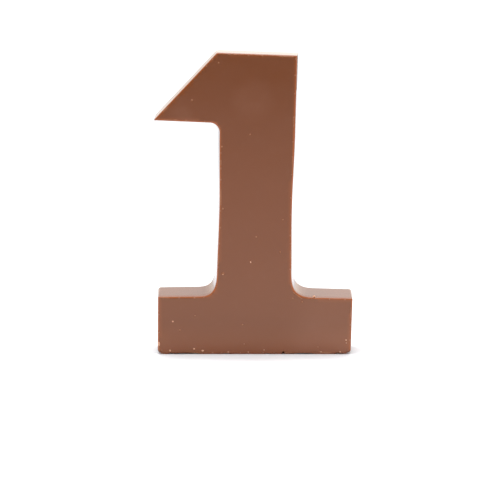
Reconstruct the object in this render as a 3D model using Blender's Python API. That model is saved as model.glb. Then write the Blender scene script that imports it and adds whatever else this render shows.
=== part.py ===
"""A chocolate number one, cast in an open mould, standing on its foot.

The front lay on the floor of the mould: it is flat, with a fine round arris.
The walls taper, so the back, where the chocolate was poured, is the larger side.
Metres, +Z up, the front faces -Y, the origin is under the middle of the whole.
"""
import math
import random

import bpy
import bmesh
from mathutils import Matrix, Vector

NAME = "chocolate_number_one"
MM = 0.001

# Driving sizes of the front face, in the number's own upright frame
DEPTH = 20.0 * MM
LEAN = math.radians(1.2)
FOOT_LEFT = -48.6 * MM
FOOT_TOP_LEFT = -48.85 * MM
FOOT_RIGHT = 47.9 * MM
FOOT_END_LEFT = 28.1 * MM
FOOT_INNER_LEFT = 29.1 * MM
FOOT_INNER_RIGHT = 29.45 * MM
FOOT_END_RIGHT = 29.3 * MM
STEM_LEFT = -19.75 * MM
STEM_RIGHT = 17.2 * MM
HEAD_LEFT = -21.7 * MM
HEAD_TOP_LEFT = 148.9 * MM
HEAD_TOP_RIGHT = 148.35 * MM
FLAG_TIP = -52.15 * MM
FLAG_TIP_HEIGHT = 115.6 * MM
FLAG_INNER_HEIGHT = 114.9 * MM

# The stem is a little narrower between its two ends
WAIST_DEPTH = 0.62 * MM
WAIST_HEIGHT = 74.0 * MM
WAIST_REACH = 38.0 * MM

# Taper of the walls, and the rounds along their edges
DRAFT = 1.2 * MM
FOOT_TOP_LEFT_DRAFT = 1.5 * MM
FOOT_TOP_RIGHT_DRAFT = 1.35 * MM
FRONT_ARRIS = 0.6 * MM
BASE_ARRIS = 0.9 * MM
BACK_ARRIS = 0.5 * MM

# How far each round reaches from its corner, along the edge before and after it
SMALL_ROUND = (0.5 * MM, 0.5 * MM)
WORN_LEFT = (2.1 * MM, 3.1 * MM)
WORN_RIGHT = (3.9 * MM, 1.9 * MM)
WORN_PULL = 0.5
BACK_ROUND = (1.6 * MM, 1.6 * MM)
TIP_ROUND = (4.6 * MM, 4.6 * MM)
FLAG_FILLET = (4.6 * MM, 4.6 * MM)
BRACKET_RIGHT = (11.2 * MM, 11.6 * MM)
BRACKET_LEFT = (11.3 * MM, 8.4 * MM)
BRACKET_PULL = 1.25

# The flag reaches a little further left than the foot does right
TO_MIDDLE = 0.07 * MM

# How finely the outline and the walls are divided
EDGE_STEP = 2.6 * MM
CORNER_STEPS = 5
FILLET_STEPS = 9
BRACKET_STEPS = 16
WALL_STEPS = 7
ARRIS_STEPS = 4

# Chips and wear along the lower edges: centre and half sizes, in millimetres
CHIPS = (
    ((-47.6, -10.4, 0.2), (2.4, 1.3, 1.9)),
    ((-34.9, -10.4, -0.35), (11.4, 2.4, 0.95)),
    ((-41.1, -10.4, -0.3), (2.7, 2.0, 1.15)),
    ((-13.9, -10.4, -0.35), (2.9, 1.5, 0.75)),
    ((-3.4, -10.4, -0.35), (2.0, 1.5, 0.7)),
    ((6.3, -10.4, -0.35), (1.9, 1.8, 0.95)),
    ((14.2, -10.3, 0.2), (0.9, 2.4, 1.3)),
    ((24.4, -10.4, -0.35), (9.8, 2.4, 0.95)),
    ((41.8, -10.4, -0.3), (3.0, 2.0, 1.15)),
    ((46.8, -10.4, 0.0), (3.0, 1.4, 1.7)),
    ((49.9, 4.0, -0.2), (1.4, 4.0, 1.5)),
    ((-49.9, 1.0, -0.2), (1.4, 5.0, 1.5)),
    ((-21.0, 10.3, -0.2), (7.0, 1.3, 1.4)),
    ((30.0, 10.3, -0.2), (4.2, 1.1, 1.2)),
)
CHIP_ROUGHNESS = 0.16
CHIP_SEED = 11


def clear_scene():
    """Start from an empty scene."""
    for thing in list(bpy.data.objects):
        bpy.data.objects.remove(thing, do_unlink=True)


def new_collection(name):
    """A collection linked to the scene."""
    group = bpy.data.collections.new(name)
    bpy.context.scene.collection.children.link(group)
    return group


def chocolate_material():
    """Milk chocolate with the satin gloss that a smooth mould leaves."""
    material = bpy.data.materials.new("milk_chocolate")
    material.use_nodes = True
    shader = material.node_tree.nodes["Principled BSDF"]
    shader.inputs["Base Color"].default_value = (0.165, 0.062, 0.033, 1.0)
    shader.inputs["Roughness"].default_value = 0.34
    shader.inputs["Metallic"].default_value = 0.0
    material.diffuse_color = (0.21, 0.09, 0.05, 1.0)
    return material


class Corner:
    """A corner of the front outline, with its rounds at the front and at the back.

    A pull above that of a circle draws the round closer to the corner.
    """

    def __init__(self, across, up, front, back, steps=CORNER_STEPS, pull=None):
        self.place = Vector((across, up))
        self.front = front
        self.back = back
        self.steps = steps
        self.pull = pull


class Edge:
    """The wall from one corner to the next."""

    def __init__(self, draft=DRAFT, arris=FRONT_ARRIS, waisted=False):
        self.draft = draft
        self.arris = arris
        self.waisted = waisted


def base_height(across):
    """The height in the leaning frame of a point that stands on the table."""
    return across * math.tan(LEAN)


def outline_corners():
    """The ten corners, anticlockwise as the front is seen."""
    small, back = SMALL_ROUND, BACK_ROUND
    return [
        Corner(FOOT_LEFT, base_height(FOOT_LEFT), WORN_LEFT, WORN_LEFT, pull=WORN_PULL),
        Corner(FOOT_RIGHT, base_height(FOOT_RIGHT), WORN_RIGHT, WORN_RIGHT, pull=WORN_PULL),
        Corner(FOOT_RIGHT, FOOT_END_RIGHT, small, back),
        Corner(STEM_RIGHT, FOOT_INNER_RIGHT, BRACKET_RIGHT, BRACKET_RIGHT,
               BRACKET_STEPS, BRACKET_PULL),
        Corner(STEM_RIGHT, HEAD_TOP_RIGHT, small, small),
        Corner(HEAD_LEFT, HEAD_TOP_LEFT, small, back),
        Corner(FLAG_TIP, FLAG_TIP_HEIGHT, small, TIP_ROUND, FILLET_STEPS),
        Corner(STEM_LEFT, FLAG_INNER_HEIGHT, FLAG_FILLET, FLAG_FILLET, FILLET_STEPS),
        Corner(STEM_LEFT, FOOT_INNER_LEFT, BRACKET_LEFT, BRACKET_LEFT,
               BRACKET_STEPS, BRACKET_PULL),
        Corner(FOOT_TOP_LEFT, FOOT_END_LEFT, small, back),
    ]


def outline_edges():
    """The ten walls, each starting at the corner of the same number."""
    base, foot_top_right, right_side, left_side, foot_top_left = 0, 2, 3, 7, 8
    edges = [Edge() for corner in outline_corners()]
    edges[base] = Edge(draft=0.0, arris=BASE_ARRIS)
    edges[right_side] = Edge(waisted=True)
    edges[left_side] = Edge(waisted=True)
    edges[foot_top_right] = Edge(draft=FOOT_TOP_RIGHT_DRAFT)
    edges[foot_top_left] = Edge(draft=FOOT_TOP_LEFT_DRAFT)
    return edges


def crossing(start_a, run_a, start_b, run_b):
    """Where two lines meet."""
    gap = start_b - start_a
    along = (gap.x * run_b.y - gap.y * run_b.x) / (run_a.x * run_b.y - run_a.y * run_b.x)
    return start_a + run_a * along


def moved_corners(corners, offsets):
    """The corners after each edge has moved outwards by its own offset."""
    lines = []
    for index, corner in enumerate(corners):
        following = corners[(index + 1) % len(corners)]
        run = (following.place - corner.place).normalized()
        outwards = Vector((run.y, -run.x))
        lines.append((corner.place + outwards * offsets[index], run))
    return [crossing(*lines[index - 1], *lines[index]) for index in range(len(lines))]


def rounded(before, corner, after, reach, steps, pull):
    """Points of the round at a corner: a conic that leaves both edges smoothly."""
    to_before = (before - corner).normalized()
    to_after = (after - corner).normalized()
    start = corner + to_before * reach[0]
    end = corner + to_after * reach[1]
    weight = pull or math.sin(to_before.angle(to_after) / 2)
    points = []
    for step in range(steps + 1):
        t = step / steps
        first, middle, last = (1 - t) ** 2, 2 * t * (1 - t) * weight, t ** 2
        points.append((start * first + corner * middle + end * last) / (first + middle + last))
    return points


def draw_in(point):
    """Move a point of the stem's side towards the middle, as its waist does."""
    along = min(1.0, abs(point.y - WAIST_HEIGHT) / WAIST_REACH)
    inwards = WAIST_DEPTH * 0.5 * (1 + math.cos(math.pi * along))
    side = 1 if point.x > 0 else -1
    return Vector((point.x - side * inwards, point.y))


def standing(point):
    """From the number's own upright frame to the leaning one in which it stands."""
    across = point.x * math.cos(LEAN) + point.y * math.sin(LEAN) + TO_MIDDLE
    up = point.y * math.cos(LEAN) - point.x * math.sin(LEAN)
    return Vector((across, up))


def outline(corners, edges, offsets, backness):
    """One closed outline: rounds at the corners, evenly divided edges between them."""
    places = moved_corners(corners, offsets)
    count = len(corners)
    rounds = []
    for index, corner in enumerate(corners):
        reach = [front + (back - front) * backness
                 for front, back in zip(corner.front, corner.back)]
        rounds.append(rounded(places[index - 1], places[index], places[(index + 1) % count],
                              reach, corner.steps, corner.pull))
    points = []
    for index, edge in enumerate(edges):
        following = (index + 1) % count
        start = rounds[index][-1]
        end = rounds[following][0]
        length = (corners[following].place - corners[index].place).length
        pieces = max(2, round(length / EDGE_STEP))
        run = [start.lerp(end, piece / pieces) for piece in range(pieces)]
        if edge.waisted:
            run = [draw_in(point) for point in run]
        points += rounds[index][:-1] + run
    return [standing(point) for point in points]


def stations():
    """Each ring's depth, and how much of the front and the back arris it is drawn in."""
    quarter = [math.pi / 2 * step / ARRIS_STEPS for step in range(ARRIS_STEPS)]
    front = [(FRONT_ARRIS * (1 - math.cos(turn)), 1 - math.sin(turn), 0.0)
             for turn in quarter]
    straight = DEPTH - FRONT_ARRIS - BACK_ARRIS
    wall = [(FRONT_ARRIS + straight * step / WALL_STEPS, 0.0, 0.0)
            for step in range(WALL_STEPS + 1)]
    back = [(DEPTH - BACK_ARRIS * (1 - math.cos(turn)), 0.0, 1 - math.sin(turn))
            for turn in reversed(quarter)]
    return front + wall + back


def loft(corners, edges):
    """Join the outlines of all depths into one closed body."""
    body = bmesh.new()
    rings = []
    for depth, front_part, back_part in stations():
        offsets = [edge.draft * depth / DEPTH - edge.arris * front_part - BACK_ARRIS * back_part
                   for edge in edges]
        points = outline(corners, edges, offsets, depth / DEPTH)
        rings.append([body.verts.new((point.x, depth - DEPTH / 2, point.y)) for point in points])
    for near, far in zip(rings, rings[1:]):
        for index in range(len(near)):
            following = (index + 1) % len(near)
            body.faces.new((near[index], far[index], far[following], near[following]))
    body.faces.new(rings[0])
    body.faces.new(list(reversed(rings[-1])))
    bmesh.ops.recalc_face_normals(body, faces=body.faces)
    return body


def mesh_object(name, body, group):
    """An object in a collection, from a finished bmesh."""
    mesh = bpy.data.meshes.new(name)
    body.to_mesh(mesh)
    body.free()
    thing = bpy.data.objects.new(name, mesh)
    group.objects.link(thing)
    return thing


def chip_cutter(index, centre, half_sizes, draws, group):
    """A lump that breaks a rough hollow out of an edge."""
    body = bmesh.new()
    bmesh.ops.create_icosphere(body, subdivisions=3, radius=1.0)
    for vert in body.verts:
        vert.co *= 1 + draws.uniform(-CHIP_ROUGHNESS, CHIP_ROUGHNESS)
    bmesh.ops.transform(body, verts=body.verts,
                        matrix=Matrix.Translation(Vector(centre) * MM)
                        @ Matrix.Diagonal(Vector(half_sizes) * MM).to_4x4())
    cutter = mesh_object(f"chip_{index}", body, group)
    cutter.hide_render = True
    cutter.display_type = "WIRE"
    return cutter


def cut_chips(thing, group):
    """Take every chip out of the body."""
    draws = random.Random(CHIP_SEED)
    for index, (centre, half_sizes) in enumerate(CHIPS):
        chip_cutter(index, centre, half_sizes, draws, group)
    chips = thing.modifiers.new("Chips", "BOOLEAN")
    chips.operation = "DIFFERENCE"
    chips.operand_type = "COLLECTION"
    chips.collection = group
    chips.solver = "EXACT"


def build():
    """Model the number, chip its edges and give it its material."""
    clear_scene()
    group = new_collection(NAME)
    cutters = new_collection("cutters")
    number = mesh_object(NAME, loft(outline_corners(), outline_edges()), group)
    number.data.materials.append(chocolate_material())
    number.data.shade_smooth()
    number.data.set_sharp_from_angle(angle=math.radians(40))
    cut_chips(number, cutters)
    return number


build()
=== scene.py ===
# %% [markdown]
# # A moulded chocolate number one
#
# The real object is one casting of milk chocolate about 15 cm tall. The flat front lay on the
# floor of a smooth plastic mould, so it has a satin gloss and a fine round arris. The walls
# taper towards it, and they are the glossiest part. The back was open to the air and was
# scraped level, so it is duller and less even.
#
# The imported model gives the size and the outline. This lesson takes that outline over as it
# is, cuts its surface into a fine grid, and then gives each side the relief and the gloss that
# the mould, the scraper and some handling leave on it.

# %% Load the fixed frame
import math
import random

import bpy
from mathutils import Euler, Matrix, Vector


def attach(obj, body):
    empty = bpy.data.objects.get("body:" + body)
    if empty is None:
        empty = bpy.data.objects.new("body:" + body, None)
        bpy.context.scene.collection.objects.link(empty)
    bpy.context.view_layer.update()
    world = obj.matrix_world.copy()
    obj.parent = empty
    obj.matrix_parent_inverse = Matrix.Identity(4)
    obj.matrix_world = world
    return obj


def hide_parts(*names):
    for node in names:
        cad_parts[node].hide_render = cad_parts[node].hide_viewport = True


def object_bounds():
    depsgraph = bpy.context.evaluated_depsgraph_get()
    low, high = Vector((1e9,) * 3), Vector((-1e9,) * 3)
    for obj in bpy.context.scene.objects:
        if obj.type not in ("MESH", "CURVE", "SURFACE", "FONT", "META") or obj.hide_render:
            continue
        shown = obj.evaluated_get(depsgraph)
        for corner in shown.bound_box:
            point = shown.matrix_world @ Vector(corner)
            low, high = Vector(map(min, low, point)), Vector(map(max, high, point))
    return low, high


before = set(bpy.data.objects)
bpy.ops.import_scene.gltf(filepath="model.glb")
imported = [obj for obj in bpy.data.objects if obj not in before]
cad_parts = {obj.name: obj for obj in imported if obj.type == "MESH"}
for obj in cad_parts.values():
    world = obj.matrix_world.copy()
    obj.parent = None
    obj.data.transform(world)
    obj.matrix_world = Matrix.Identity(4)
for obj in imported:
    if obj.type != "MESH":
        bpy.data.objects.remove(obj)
MM = 0.001
NODE = "chocolate_number_one"
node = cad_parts[NODE]
cad_low, cad_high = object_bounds()
print("frame box in mm", [round(v / MM, 1) for v in (*cad_low, *cad_high)])

# %% [markdown]
# ## The camera
#
# The number was photographed with a fairly long lens from a little above its head, looking
# slightly down at it. The top of the foot shows as a narrow strip, and the lines that run
# into the depth meet far above the picture, which gives the tilt. The lens axis passes left of
# the stem, so the number stands a little to the right of the picture's middle.

# %% Camera
CAMERA_LENS = 105.0
CAMERA_TILT = math.radians(8.53)
CAMERA_PLACE = Vector((-7.39, -693.3, 160.24)) * MM

camera_data = bpy.data.cameras.new("camera")
camera_data.lens = CAMERA_LENS
camera_data.sensor_width = 36.0
camera_data.clip_start = 0.01
camera = bpy.data.objects.new("camera", camera_data)
camera.location = CAMERA_PLACE
camera.rotation_euler = (math.pi / 2 - CAMERA_TILT, 0.0, 0.0)
bpy.context.scene.collection.objects.link(camera)
bpy.context.scene.camera = camera
print("camera looks down by degrees", round(math.degrees(CAMERA_TILT), 2))

# %% [markdown]
# ## A way to write shader maths
#
# A finish is a small sum: so much of one colour here, so much of another there. Nodes can say
# it, but a page of links hides the sum. The class below wraps a socket, so that ordinary
# Python arithmetic adds the Math nodes, and every other node comes from one method.


# %% Shader helper
class Signal:
    """A node's output that can be used in arithmetic."""

    def __init__(self, finish, socket):
        self.finish = finish
        self.socket = socket

    def math(self, operation, first, second):
        return self.finish.node("ShaderNodeMath", {"operation": operation}, {0: first, 1: second})

    def __add__(self, other):
        return self.math("ADD", self, other)

    def __radd__(self, other):
        return self.math("ADD", other, self)

    def __sub__(self, other):
        return self.math("SUBTRACT", self, other)

    def __rsub__(self, other):
        return self.math("SUBTRACT", other, self)

    def __mul__(self, other):
        return self.math("MULTIPLY", self, other)

    def __rmul__(self, other):
        return self.math("MULTIPLY", other, self)


class Finish:
    """A node tree, with one method that adds a node of any kind."""

    def __init__(self, tree):
        self.tree = tree

    def node(self, kind, settings, sockets, output=0):
        made = self.tree.nodes.new(kind)
        for name, value in settings.items():
            setattr(made, name, value)
        for key, value in sockets.items():
            if isinstance(value, Signal):
                self.tree.links.new(value.socket, made.inputs[key])
            else:
                made.inputs[key].default_value = value
        return Signal(self, made.outputs[output])

    def send(self, signal, shader, socket):
        self.tree.links.new(signal.socket, shader.inputs[socket])

    def step(self, value, low, high):
        """0 below low, 1 above high, and smooth between."""
        return self.node("ShaderNodeMapRange", {"interpolation_type": "SMOOTHSTEP"},
                         {"Value": value, "From Min": low, "From Max": high})

    def mix(self, share, colour_a, colour_b):
        """Colour a where share is 0, colour b where it is 1."""
        return self.node("ShaderNodeMix", {"data_type": "RGBA"},
                         {0: share, 6: colour_a, 7: colour_b}, output=2)

    def noise(self, place, size, detail=2.0, roughness=0.5):
        """Soft random values round 0.5, in lumps of about this size in metres."""
        return self.node("ShaderNodeTexNoise", {},
                         {"Vector": place, "Scale": 1.0 / size, "Detail": detail,
                          "Roughness": roughness})

    def object_place(self):
        """Where each point is, in the object's own coordinates."""
        return self.node("ShaderNodeTexCoord", {}, {}, output=3)

    def split(self, place):
        """The three parts of a place or a direction."""
        parts = self.node("ShaderNodeSeparateXYZ", {}, {0: place}).socket.node
        return [Signal(self, part) for part in parts.outputs]

    def distance(self, place, point):
        """How far each place is from a point."""
        return self.node("ShaderNodeVectorMath", {"operation": "DISTANCE"},
                         {0: place, 1: point}, output=1)

    def stretched(self, place, scale):
        """Places with each axis scaled, so that a noise on them is drawn out."""
        return self.node("ShaderNodeMapping", {}, {"Vector": place, "Scale": scale})

    def bump(self, relief):
        """A normal that is bent by a relief in metres."""
        return self.node("ShaderNodeBump", {},
                         {"Strength": 1.0, "Distance": 1.0, "Height": relief})


def start_material(name):
    """A new material, its tree as a Finish, and its shader."""
    material = bpy.data.materials.new(name)
    material.use_nodes = True
    return material, Finish(material.node_tree), material.node_tree.nodes["Principled BSDF"]


print("shader helper ready")

# %% [markdown]
# ## The chocolate
#
# Milk chocolate is cocoa and milk powder in cocoa butter. Light goes a millimetre or so into
# the fat before it comes out again, redder than it went in, which is why every thin arris
# glows orange; that glow is painted into the colour of the arris. The surface itself only has
# the gloss of the mould: satin on the wide front, a little cloudy where it let go of the mould
# unevenly, shinier on the walls and dull on the scraped back. One Principled shader does it
# all, with masks made from the object's own coordinates: the depth alone says which side a
# point is on.
#
# The head looks a little deeper and the lowest part of the front a little paler than the light
# alone makes them, so the colour is also scaled by height: this is painted shade on the head
# and painted light low on the front.

# %% Chocolate finish
FRONT_Y = -10.0 * MM
BACK_Y = 10.0 * MM
COCOA_BUTTER_IOR = 1.46

CHOCOLATE = (0.184, 0.0572, 0.0203, 1.0)
CHOCOLATE_WARM = (0.191, 0.0572, 0.0190, 1.0)
CHOCOLATE_PALE = (0.260, 0.105, 0.0600, 1.0)
CHOCOLATE_SCRAPED = (0.165, 0.0600, 0.0300, 1.0)
# Painted glow of the light that comes back out of the thin arris
PAINTED_ARRIS_GLOW = (0.360, 0.094, 0.0240, 1.0)

# Painted shade on the head and painted light low on the front, as shares of the colour
HEAD_PAINTED_SHADE = 0.10
HEAD_SHADE_FROM, HEAD_SHADE_TO = 80.0 * MM, 150.0 * MM
BASE_PAINTED_LIGHT = 0.27
BASE_LIGHT_TO = 18.0 * MM
FRONT_ROUGHNESS = 0.18
WALL_ROUGHNESS = 0.11
BACK_ROUGHNESS = 0.40
CLOUD_GLOSS = 0.10
MOTTLE_GLOSS = 0.04
SHOULDER_DULLER = 0.20

# The shoulder is the strip of the walls just behind the arris: where it starts and ends
SHOULDER_FROM, SHOULDER_TO = 1.0 * MM, 5.0 * MM
ARRIS_MARK = "on_arris"
ARRIS_SHARE = 0.9
SHOULDER_SHARE = 0.25
MOTTLE_SHARE = 0.05
BLOOM_AND_SHEEN_SHARE = 0.45
STREAK_SHARE = 0.35
GRAIN_DEPTH = 0.002 * MM
MOTTLE_DEPTH = 0.010 * MM
STREAK_DEPTH = 0.06 * MM

# Broken chocolate: the size of its grain, and how much that changes the gloss and the relief
BREAK_SIZE = 0.6 * MM
BREAK_GLOSS = 0.2
BREAK_DEPTH = 0.05 * MM

# Where the front is paler, partly where it let go of the mould late and is a little cloudy,
# partly as a painted sheen of reflected light: centre and radius
BLOOM_AND_SHEEN_PLACES = (
    (Vector((-1.2, -10.0, 126.3)) * MM, 13.0 * MM),
    (Vector((-36.0, -10.0, 118.5)) * MM, 8.0 * MM),
    (Vector((38.0, -10.0, 10.0)) * MM, 28.0 * MM),
)


def make_chocolate(name):
    """The finish of the whole casting."""
    material, finish, shader = start_material(name)
    place = finish.object_place()
    _, depth, height = finish.split(place)

    past_arris = finish.step(depth, FRONT_Y + 0.45 * MM, FRONT_Y + 0.8 * MM)
    past_shoulder = finish.step(depth, FRONT_Y + SHOULDER_FROM, FRONT_Y + SHOULDER_TO)
    shoulder = past_arris * (1.0 - past_shoulder)
    on_arris = finish.node("ShaderNodeAttribute", {"attribute_name": ARRIS_MARK}, {}, output=2)
    on_back = finish.step(depth, BACK_Y - 0.9 * MM, BACK_Y - 0.3 * MM)

    cloud = finish.noise(place, 16.0 * MM, detail=3.0)
    mottle = finish.noise(place, 3.5 * MM, detail=4.0)
    grain = finish.noise(place, 0.5 * MM, detail=2.0)
    streak = finish.noise(finish.stretched(place, (1.0, 1.0, 0.06)), 1.2 * MM, detail=3.0)

    # Paler patches: partly real cloudiness, partly painted sheen
    bloom_and_sheen = 0.0
    for centre, radius in BLOOM_AND_SHEEN_PLACES:
        near = 1.0 - finish.step(finish.distance(place, centre), radius * 0.3, radius)
        bloom_and_sheen = bloom_and_sheen + near * cloud

    colour = finish.mix(cloud, CHOCOLATE_WARM, CHOCOLATE)
    colour = finish.mix(on_back, colour, CHOCOLATE_SCRAPED)
    pale = finish.step(mottle, 0.5, 0.8) * MOTTLE_SHARE
    pale = pale + bloom_and_sheen * BLOOM_AND_SHEEN_SHARE + on_back * streak * STREAK_SHARE
    colour = finish.mix(pale, colour, CHOCOLATE_PALE)
    # Painted glow on the arris and, fainter, on the shoulder just behind it
    glow = on_arris * ARRIS_SHARE + shoulder * SHOULDER_SHARE
    colour = finish.mix(glow, colour, PAINTED_ARRIS_GLOW)
    # Painted shade: the colour darkens towards the top of the head
    head_painted_shade = finish.step(height, HEAD_SHADE_FROM, HEAD_SHADE_TO) * HEAD_PAINTED_SHADE
    # Painted light: the front is made paler towards its lowest edge
    near_base = 1.0 - finish.step(height, 0.0, BASE_LIGHT_TO)
    foot_painted_light = (1.0 - past_arris) * near_base * BASE_PAINTED_LIGHT
    colour = finish.node("ShaderNodeVectorMath", {"operation": "SCALE"},
                         {0: colour, "Scale": 1.0 - head_painted_shade + foot_painted_light})
    finish.send(colour, shader, "Base Color")

    gloss = FRONT_ROUGHNESS + (cloud - 0.5) * CLOUD_GLOSS + (mottle - 0.5) * MOTTLE_GLOSS
    gloss = gloss + past_arris * (WALL_ROUGHNESS - FRONT_ROUGHNESS)
    gloss = gloss + shoulder * SHOULDER_DULLER
    gloss = gloss + on_back * (BACK_ROUGHNESS - WALL_ROUGHNESS)
    finish.send(gloss, shader, "Roughness")

    relief = grain * GRAIN_DEPTH + mottle * MOTTLE_DEPTH + on_back * streak * STREAK_DEPTH
    finish.send(finish.bump(relief), shader, "Normal")
    shader.inputs["IOR"].default_value = COCOA_BUTTER_IOR
    return material


def make_broken(name, colour, pale_colour, roughness):
    """The dull, lighter finish of broken chocolate, which never touched the mould."""
    material, finish, shader = start_material(name)
    crumbly = finish.noise(finish.object_place(), BREAK_SIZE, detail=3.0)
    finish.send(finish.mix(crumbly, colour, pale_colour), shader, "Base Color")
    finish.send(roughness + (crumbly - 0.5) * BREAK_GLOSS, shader, "Roughness")
    finish.send(finish.bump(crumbly * BREAK_DEPTH), shader, "Normal")
    shader.inputs["IOR"].default_value = COCOA_BUTTER_IOR
    return material


chocolate = make_chocolate("milk_chocolate_finish")
broken = make_broken("broken_chocolate_and_pit_glint", (0.30, 0.110, 0.045, 1.0),
                     (0.42, 0.185, 0.090, 1.0), 0.50)
crumb_finish = make_broken("crumb_chocolate", (0.64, 0.32, 0.185, 1.0),
                           (0.86, 0.50, 0.330, 1.0), 0.45)
print("finish", chocolate.name, "has", len(chocolate.node_tree.nodes), "nodes")

# %% [markdown]
# ## The casting
#
# The outline, the taper and the chipped base are already right in the frame, so the casting
# starts as a copy of it. The copy is loose triangles, some of them as long as the stem. They
# are welded and dissolved into whole faces. The walls are then fine enough, but the front and
# the back are one face each, so evenly spaced planes cut these two into a grid of small
# squares, which can take a shallow relief.

# %% Helpers for modelling
FLAT_ENOUGH = 0.99


def pick(*things):
    """Select only these objects, and make the first one active."""
    bpy.ops.object.select_all(action="DESELECT")
    for thing in things:
        thing.select_set(True)
    bpy.context.view_layer.objects.active = things[0]


def apply(thing, kind, name, **settings):
    """Add a modifier, set it up and apply it."""
    pick(thing)
    modifier = thing.modifiers.new(name, kind)
    for key, value in settings.items():
        setattr(modifier, key, value)
    bpy.ops.object.modifier_apply(modifier=name)


def triangles(thing):
    """How many triangles a mesh has."""
    return sum(len(face.vertices) - 2 for face in thing.data.polygons)


def select_caps(thing):
    """In edit mode, select only the flat front and back faces."""
    bpy.ops.object.mode_set(mode="OBJECT")
    for part in (*thing.data.vertices, *thing.data.edges):
        part.select = False
    for face in thing.data.polygons:
        face.select = abs(face.normal.y) > FLAT_ENOUGH
    bpy.ops.object.mode_set(mode="EDIT")


def slice_caps(thing, axis, low, high, step):
    """Cut the front and the back by planes square to an axis, a step apart."""
    normal = [1.0 if index == axis else 0.0 for index in range(3)]
    count = round((high - low) / step)
    for number in range(1, count):
        at = low + (high - low) * number / count
        select_caps(thing)
        bpy.ops.mesh.bisect(plane_co=[at * part for part in normal], plane_no=normal,
                            threshold=0.02 * MM)


# %% Casting from the frame
GRID = 2.0 * MM
WELD = 0.005 * MM
MERGE_SLIVERS = 0.08 * MM

casting = node.copy()
casting.data = node.data.copy()
casting.name = "chocolate_casting"
bpy.context.scene.collection.objects.link(casting)
pick(casting)
bpy.ops.object.mode_set(mode="EDIT")
bpy.ops.mesh.select_all(action="SELECT")
bpy.ops.mesh.customdata_custom_splitnormals_clear()
bpy.ops.mesh.remove_doubles(threshold=WELD)
bpy.ops.mesh.dissolve_limited(angle_limit=math.radians(0.3))
bpy.ops.object.mode_set(mode="OBJECT")


def cap_outline(thing, side):
    """The corners of the largest face that looks forwards (-1) or backwards (1), in order."""
    caps = [face for face in thing.data.polygons if face.normal.y * side > FLAT_ENOUGH]
    widest = max(caps, key=lambda face: face.area)
    return [thing.data.vertices[index].co.copy() for index in widest.vertices]


front_outline = cap_outline(casting, -1)
back_outline = cap_outline(casting, 1)
bpy.ops.object.mode_set(mode="EDIT")
slice_caps(casting, 0, cad_low[0], cad_high[0], GRID)
slice_caps(casting, 2, cad_low[2], cad_high[2], GRID)
bpy.ops.mesh.select_all(action="SELECT")
bpy.ops.mesh.remove_doubles(threshold=MERGE_SLIVERS)
bpy.ops.mesh.dissolve_degenerate(threshold=0.02 * MM)
bpy.ops.object.mode_set(mode="OBJECT")
casting.data.materials.clear()
casting.data.materials.append(chocolate)
print("casting cut into", len(casting.data.polygons), "faces")

# %% [markdown]
# The orange glow of the front arris is painted into its colour, and it belongs to the round
# of the arris. Depth can't tell the round from the front once the front sways, so the corners
# of the arris faces are marked now, in an attribute that the finish reads. The front's own
# corners that touch the round get a small share, so that the painted glow fades out, and the
# lowest edge gets none.

# %% Mark the arris
ARRIS_DEPTH = 0.45 * MM
FADE_ON_FRONT = 0.3
GLOW_FROM = 2.2 * MM

round_faces = [face for face in casting.data.polygons if abs(face.normal.y) < FLAT_ENOUGH]
on_round = {index for face in round_faces for index in face.vertices
            if casting.data.vertices[index].co.y < FRONT_Y + ARRIS_DEPTH
            and casting.data.vertices[index].co.z > GLOW_FROM}
mark = casting.data.attributes.new(ARRIS_MARK, "FLOAT", "CORNER")
for face in casting.data.polygons:
    for corner, index in zip(face.loop_indices, face.vertices):
        share = 1.0 if abs(face.normal.y) < FLAT_ENOUGH else FADE_ON_FRONT
        mark.data[corner].value = share if index in on_round else 0.0
print("marked corners", sum(1 for corner in mark.data if corner.value > 0.5))

# %% [markdown]
# ## Relief
#
# Chocolate shrinks a little as it sets, so even the mould side is not a perfect plane: it
# sways by a tenth of a millimetre, which is just enough to bend a reflection. The open back
# was dragged level with a scraper, and keeps long shallow grooves. For these the number is
# squashed along its height, displaced by a soft cloud, and drawn out again, which turns the
# round lumps of the cloud into long streaks.

# %% Sway of the skin and grooves of the scraper
SWAY = 0.10 * MM
GROOVE_DEPTH = 0.30 * MM
SQUASH = 0.05
BACK_SKIN = 0.45 * MM


def cloud_texture(name, size):
    """Soft lumps of about this size in metres."""
    texture = bpy.data.textures.new(name, "CLOUDS")
    texture.noise_scale = size
    texture.noise_depth = 1
    return texture


def stretch_upwards(thing, factor):
    """Scale a mesh along its height, from the floor."""
    pick(thing)
    bpy.ops.object.mode_set(mode="EDIT")
    bpy.ops.mesh.select_all(action="SELECT")
    bpy.ops.transform.resize(value=(1.0, 1.0, factor), center_override=(0.0, 0.0, 0.0))
    bpy.ops.object.mode_set(mode="OBJECT")


back_skin = casting.vertex_groups.new(name="back_skin")
back_skin.add([vertex.index for vertex in casting.data.vertices
               if vertex.co.y > BACK_Y - BACK_SKIN], 1.0, "REPLACE")
apply(casting, "DISPLACE", "Sway", texture=cloud_texture("sway", 18.0 * MM),
      texture_coords="LOCAL", mid_level=1.0, strength=SWAY)
stretch_upwards(casting, SQUASH)
apply(casting, "DISPLACE", "Grooves", texture=cloud_texture("grooves", 7.0 * MM),
      texture_coords="LOCAL", direction="Y", mid_level=0.0, strength=-GROOVE_DEPTH,
      vertex_group="back_skin")
stretch_upwards(casting, 1.0 / SQUASH)
print("the skin sways and the back is grooved")

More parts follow.
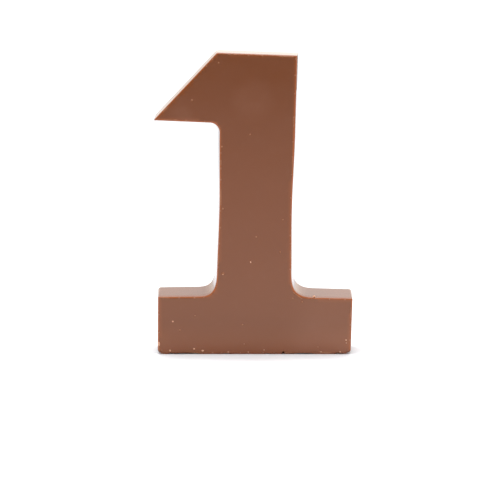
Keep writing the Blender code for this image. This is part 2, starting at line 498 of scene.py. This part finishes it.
# %% [markdown]
# ## Bubbles, nicks and worn places
#
# Small air bubbles stayed against the mould and left pits. The fine front arris is nicked
# where the number touched things, and the back edge is ragged from the scraper. One rough
# lump is modelled and copied for all of them: round and half sunk it is a bubble, set on an
# edge it breaks out a nick, and drawn out along an edge it wears that edge away a little.
# The lower front edge is worn most, as the photograph shows.
#
# Each set of copies is joined and taken out of the casting by one Boolean, which also brings
# the set's finish along: the dull, lighter one of broken chocolate for the nicks and the front's
# pits, where the lighter colour in the pits is a painted highlight of their lit lower rim, and
# the casting's own for the pits of the back and for the worn base.

# %% Rough lump
NICK_SEED = 23
draws = random.Random(NICK_SEED)


def rough_lump(name, subdivisions, roughness, material):
    """A rough ball of 1 mm radius, the source of what is repeated."""
    bpy.ops.object.select_all(action="DESELECT")
    bpy.ops.mesh.primitive_ico_sphere_add(subdivisions=subdivisions, radius=MM)
    lump = bpy.context.active_object
    lump.name = name
    bpy.ops.object.mode_set(mode="EDIT")
    bpy.ops.mesh.select_all(action="SELECT")
    bpy.ops.transform.vertex_random(offset=roughness * MM, seed=NICK_SEED)
    bpy.ops.object.mode_set(mode="OBJECT")
    lump.data.materials.append(material)
    return lump


def spin_any_way():
    """A turn that points anywhere."""
    turns = [draws.uniform(0.0, 2.0 * math.pi) for _ in range(3)]
    return Euler(turns).to_matrix().to_4x4()


def set_copies(source, name, placings):
    """Copies of the source, one for each placing, joined into one mesh at the origin."""
    copies = []
    for placing in placings:
        copy = source.copy()
        copy.data = source.data.copy()
        copy.data.transform(placing @ spin_any_way())
        bpy.context.scene.collection.objects.link(copy)
        copies.append(copy)
    pick(*copies)
    bpy.ops.object.join()
    copies[0].name = name
    return copies[0]


def sized(centre, half_sizes, turn=Matrix.Identity(4)):
    """A placing with its half sizes in millimetres."""
    return Matrix.Translation(centre) @ turn @ Matrix.Diagonal(Vector(half_sizes)).to_4x4()


def run_along(outline, share):
    """The place at this share of the way round an outline, and the direction there."""
    ends = list(zip(outline, outline[1:] + outline[:1]))
    lengths = [(end - start).length for start, end in ends]
    left = share * sum(lengths)
    for (start, end), length in zip(ends, lengths):
        if left <= length:
            return start.lerp(end, left / length), (end - start).normalized()
        left -= length
    return outline[0], (outline[1] - outline[0]).normalized()


def nick_placings(outline, count, long, deep):
    """Placings along an outline, unevenly spread, with ranges for half length and depth."""
    placings = []
    for number in range(count):
        place, run = run_along(outline, (number + draws.uniform(0.12, 0.88)) / count)
        turn = run.to_track_quat("X", "Z").to_matrix().to_4x4()
        half_sizes = (draws.uniform(*long), *(draws.uniform(*deep) for _ in range(2)))
        placings.append(sized(place, half_sizes, turn))
    return placings


# %% Pits and nicks
# Where the photograph shows them: across, up and half width, in millimetres
FRONT_PITS = (
    (-17.7, 144.6, 0.38), (-30.7, 126.6, 0.45), (-2.5, 109.9, 0.40), (-16.3, 103.9, 0.45),
    (-15.8, 73.3, 0.45), (0.6, 59.3, 0.40), (13.8, 67.8, 0.35), (12.4, 51.8, 0.40),
    (-15.8, 40.8, 0.70), (-29.8, 19.7, 0.40), (-37.4, 12.4, 0.45), (-6.1, 15.2, 0.40),
    (-5.3, 5.3, 0.35), (18.7, 28.4, 0.45), (23.5, 26.7, 0.40), (31.6, 3.8, 0.40),
)
PIT_DEPTH = 0.6
# Where the lower front edge is worn away: across, half length and half height
BASE_HOLLOWS = (
    (-35.0, 10.6, 1.45), (-14.2, 2.6, 1.10), (24.4, 9.6, 1.15), (42.0, 3.2, 1.45),
)
HOLLOW_CENTRE_Y = -10.4
HOLLOW_CENTRE_Z = -0.35
HOLLOW_DEPTH = 2.0

# Along an outline: how many, the range of half lengths and the range of half depths
WORN_PLACES = (17, (1.8, 5.0), (0.16, 0.30))
FRONT_NICKS = (62, (0.20, 0.65), (0.16, 0.42))
BACK_NICKS = (48, (0.4, 2.2), (0.2, 0.6))

# Bubbles of the back: how many, and the ranges across, up and of half width
BACK_PITS = 34
BACK_PITS_ACROSS = (-46.0, 46.0)
BACK_PITS_UP = (3.0, 146.0)
BACK_PIT_HALF = (0.25, 0.75)
BACK_PIT_DEPTH = 0.7
BACK_PIT_IN = 0.15

# The pale broken finish also goes into the front's pits, as a painted highlight
lump = rough_lump("rough_lump", 2, 0.16, broken)
front_pits = [sized(Vector((across * MM, FRONT_Y, up * MM)),
                    (half, half * PIT_DEPTH, half)) for across, up, half in FRONT_PITS]
back_pits = []
while len(back_pits) < BACK_PITS:
    across, up = draws.uniform(*BACK_PITS_ACROSS), draws.uniform(*BACK_PITS_UP)
    half = draws.uniform(*BACK_PIT_HALF)
    back_pits.append(sized(Vector((across * MM, BACK_Y - BACK_PIT_IN * MM, up * MM)),
                           (half, half * BACK_PIT_DEPTH, half)))
base_hollows = [sized(Vector((across, HOLLOW_CENTRE_Y, HOLLOW_CENTRE_Z)) * MM,
                      (long, HOLLOW_DEPTH, high)) for across, long, high in BASE_HOLLOWS]
cutters = [
    set_copies(lump, "worn_places", nick_placings(front_outline, *WORN_PLACES)),
    set_copies(lump, "nicks_and_pits",
               nick_placings(front_outline, *FRONT_NICKS) + front_pits),
    set_copies(lump, "back_nicks", nick_placings(back_outline, *BACK_NICKS)),
]
lump.data.materials[0] = chocolate
cutters += [
    set_copies(lump, "back_pits", back_pits),
    set_copies(lump, "base_wear", base_hollows),
]
for cutter in cutters:
    apply(casting, "BOOLEAN", cutter.name, object=cutter, operation="DIFFERENCE",
          solver="EXACT", material_mode="TRANSFER")
    print(cutter.name, "cut, faces", len(casting.data.polygons))
    bpy.data.objects.remove(cutter)

# %% [markdown]
# Smooth shading would blend the flat front with its arris and make the whole rim look blown
# up. Weighted normals keep the wide faces flat and let only the narrow round bend the light.

# %% Shade the casting
SMOOTH_BELOW = math.radians(40)
LARGEST_FACE_WINS = 100

pick(casting)
bpy.ops.object.shade_smooth_by_angle(angle=SMOOTH_BELOW)
apply(casting, "WEIGHTED_NORMAL", "Flat front", keep_sharp=True, weight=LARGEST_FACE_WINS)
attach(casting, "root")
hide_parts(NODE)
print("casting has", triangles(casting), "triangles")

# %% [markdown]
# ## Crumbs
#
# A few crumbs of broken chocolate cling to the front, mostly low down where the number was
# set on its foot. They are the same rough lump, squashed flat and half sunk, in the palest
# finish.

# %% Crumbs
# Across, up, half width and half height in millimetres
FRONT_CRUMBS = (
    (-40.8, 16.7, 0.42, 0.40), (-30.3, 2.8, 0.50, 0.46), (-26.0, 1.8, 0.62, 0.42),
    (-42.3, 1.9, 0.32, 0.55), (-47.8, 5.3, 0.40, 1.20), (45.5, 7.3, 0.36, 0.40),
    (45.6, 5.8, 0.26, 0.26), (-2.1, 46.7, 0.26, 0.50), (4.6, 2.2, 0.26, 0.24),
    (-15.8, 40.5, 0.34, 0.28), (-13.3, 1.2, 0.34, 0.22), (-3.3, 1.2, 0.30, 0.22),
    (33.1, 1.2, 0.50, 0.22), (42.6, 1.2, 0.55, 0.24),
)
CRUMB_SUNK = 0.10 * MM
CRUMB_DEPTH = 0.24
# One more lies on top of the foot, right of the stem: its centre and half sizes
FOOT_CRUMB = ((29.4, -8.9, 29.2), (0.8, 0.5, 0.42))

crumb_placings = [sized(Vector((across * MM, FRONT_Y + CRUMB_SUNK, up * MM)),
                        (wide, CRUMB_DEPTH, high)) for across, up, wide, high in FRONT_CRUMBS]
crumb_placings.append(sized(Vector(FOOT_CRUMB[0]) * MM, FOOT_CRUMB[1]))
lump.data.materials.clear()
lump.data.materials.append(crumb_finish)
crumbs = set_copies(lump, "chocolate_crumbs", crumb_placings)
bpy.data.objects.remove(lump)
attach(crumbs, "root")
print("crumbs have", triangles(crumbs), "triangles")

# %% [markdown]
# ## Floor, light and surroundings
#
# A glossy brown thing shows what stands round it. The space behind it and the dome above are
# white, so the grazing tops of the foot and the head turn almost white. Only the room straight
# behind the camera is dark, and the upper part of the front mirrors it. The floor is a light
# table: a sheet of white acrylic with a pool of warm light in front of the foot, which lifts
# the lower half of the front, and a fainter even glow farther out.

# %% Floor
FLOOR_SIZE = 6.0
POOL_CENTRE = (0.08, -0.10, 0.0)
POOL_REACH = 0.38
POOL_GLOW = 0.45
POOL_FROM, POOL_FULL = 0.018, 0.038
FAR_GLOW = 0.17
FAR_FROM, FAR_FULL = 0.1, 0.5
POOL_COLOUR = (1.05, 0.94, 0.76, 1.0)
TABLE_WHITE = (0.90, 0.92, 0.95, 1.0)

bpy.ops.object.select_all(action="DESELECT")
bpy.ops.mesh.primitive_plane_add(size=FLOOR_SIZE, location=(0.0, 0.0, 0.0))
floor = bpy.context.active_object
floor.name = "floor"
floor_material, table, floor_shader = start_material("light_table")
floor_place = table.object_place()
in_front = table.split(floor_place)[1] * -1.0
pool = 1.0 - table.step(table.distance(floor_place, POOL_CENTRE), 0.0, POOL_REACH)
far = table.step(table.distance(floor_place, (0.0, 0.0, 0.0)), FAR_FROM, FAR_FULL)
clear_of_foot = table.step(in_front, POOL_FROM, POOL_FULL)
table_glow = table.mix(pool * clear_of_foot * POOL_GLOW, far * FAR_GLOW, POOL_COLOUR)
table.send(table_glow, floor_shader, "Emission Color")
floor_shader.inputs["Emission Strength"].default_value = 1.0
floor_shader.inputs["Base Color"].default_value = TABLE_WHITE
floor_shader.inputs["Roughness"].default_value = 0.6
floor_shader.inputs["Specular IOR Level"].default_value = 0.2
floor.data.materials.append(floor_material)
print("floor is", FLOOR_SIZE, "m wide")

# %% [markdown]
# The room is white light from every direction, worked out from the direction alone. It is
# brighter on the right and behind the number, brightest in a low band of the backdrop, and
# dim on a short stretch of horizon straight behind it, where the top of the head looks. The
# camera itself sees plain white.

# %% Surroundings
ROOM = 0.09
SKY = 1.0
DOME_OPENS = 0.9
FAR_SIDE_GAIN = 0.15
BACKDROP_GAIN = 0.38
HORIZON_DIP = 1.1
RIGHT_SIDE_GAIN = 0.30
SEEN_WHITE = 1.2
WHITE = (1.0, 1.0, 1.0, 1.0)
WARM_WHITE = (1.0, 0.94, 0.87, 1.0)

world = bpy.data.worlds.new("white_room")
world.use_nodes = True
room = Finish(world.node_tree)
background = world.node_tree.nodes["Background"]
direction = room.node("ShaderNodeTexCoord", {}, {}, output=0)
rightwards, forwards, upwards = room.split(direction)
lit = room.step(forwards + upwards * DOME_OPENS, -0.75, -0.15)
behind = room.step(forwards, 0.5, 0.95)
straight_behind = room.step(forwards, 0.985, 0.998) * (1.0 - room.step(upwards, 0.02, 0.12))
not_high = 1.0 - room.step(upwards, 0.2, 0.45)
low_band = room.step(upwards, -0.02, 0.01) * not_high
radiance = ROOM + lit * (SKY - ROOM + rightwards * RIGHT_SIDE_GAIN)
radiance = radiance + room.step(forwards, -0.2, 0.4) * FAR_SIDE_GAIN
radiance = radiance + behind * low_band * BACKDROP_GAIN
radiance = radiance - straight_behind * HORIZON_DIP
seen = room.node("ShaderNodeLightPath", {}, {}, output=0)
warmth = behind * not_high * (1.0 - seen)
room.send(room.mix(warmth, WHITE, WARM_WHITE), background, "Color")
room.send(radiance * (1.0 - seen) + seen * SEEN_WHITE, background, "Strength")
bpy.context.scene.world = world


# %% Lamps
def add_lamp(name, place, aim, size, power):
    """A square soft light that points at a place."""
    data = bpy.data.lights.new(name, "AREA")
    data.shape = "SQUARE"
    data.size = size
    data.energy = power
    lamp = bpy.data.objects.new(name, data)
    lamp.location = place
    lamp.rotation_euler = (Vector(aim) - Vector(place)).to_track_quat("-Z", "Y").to_euler()
    bpy.context.scene.collection.objects.link(lamp)


add_lamp("top_light", (-0.12, 0.05, 0.8), (0.0, 0.0, 0.0), 0.7, 5.0)

scene = bpy.context.scene
scene.view_settings.view_transform = "Standard"
scene.view_settings.look = "None"
scene.view_settings.exposure = 0.0
scene.view_settings.gamma = 1.0
print("one lamp and a white room")
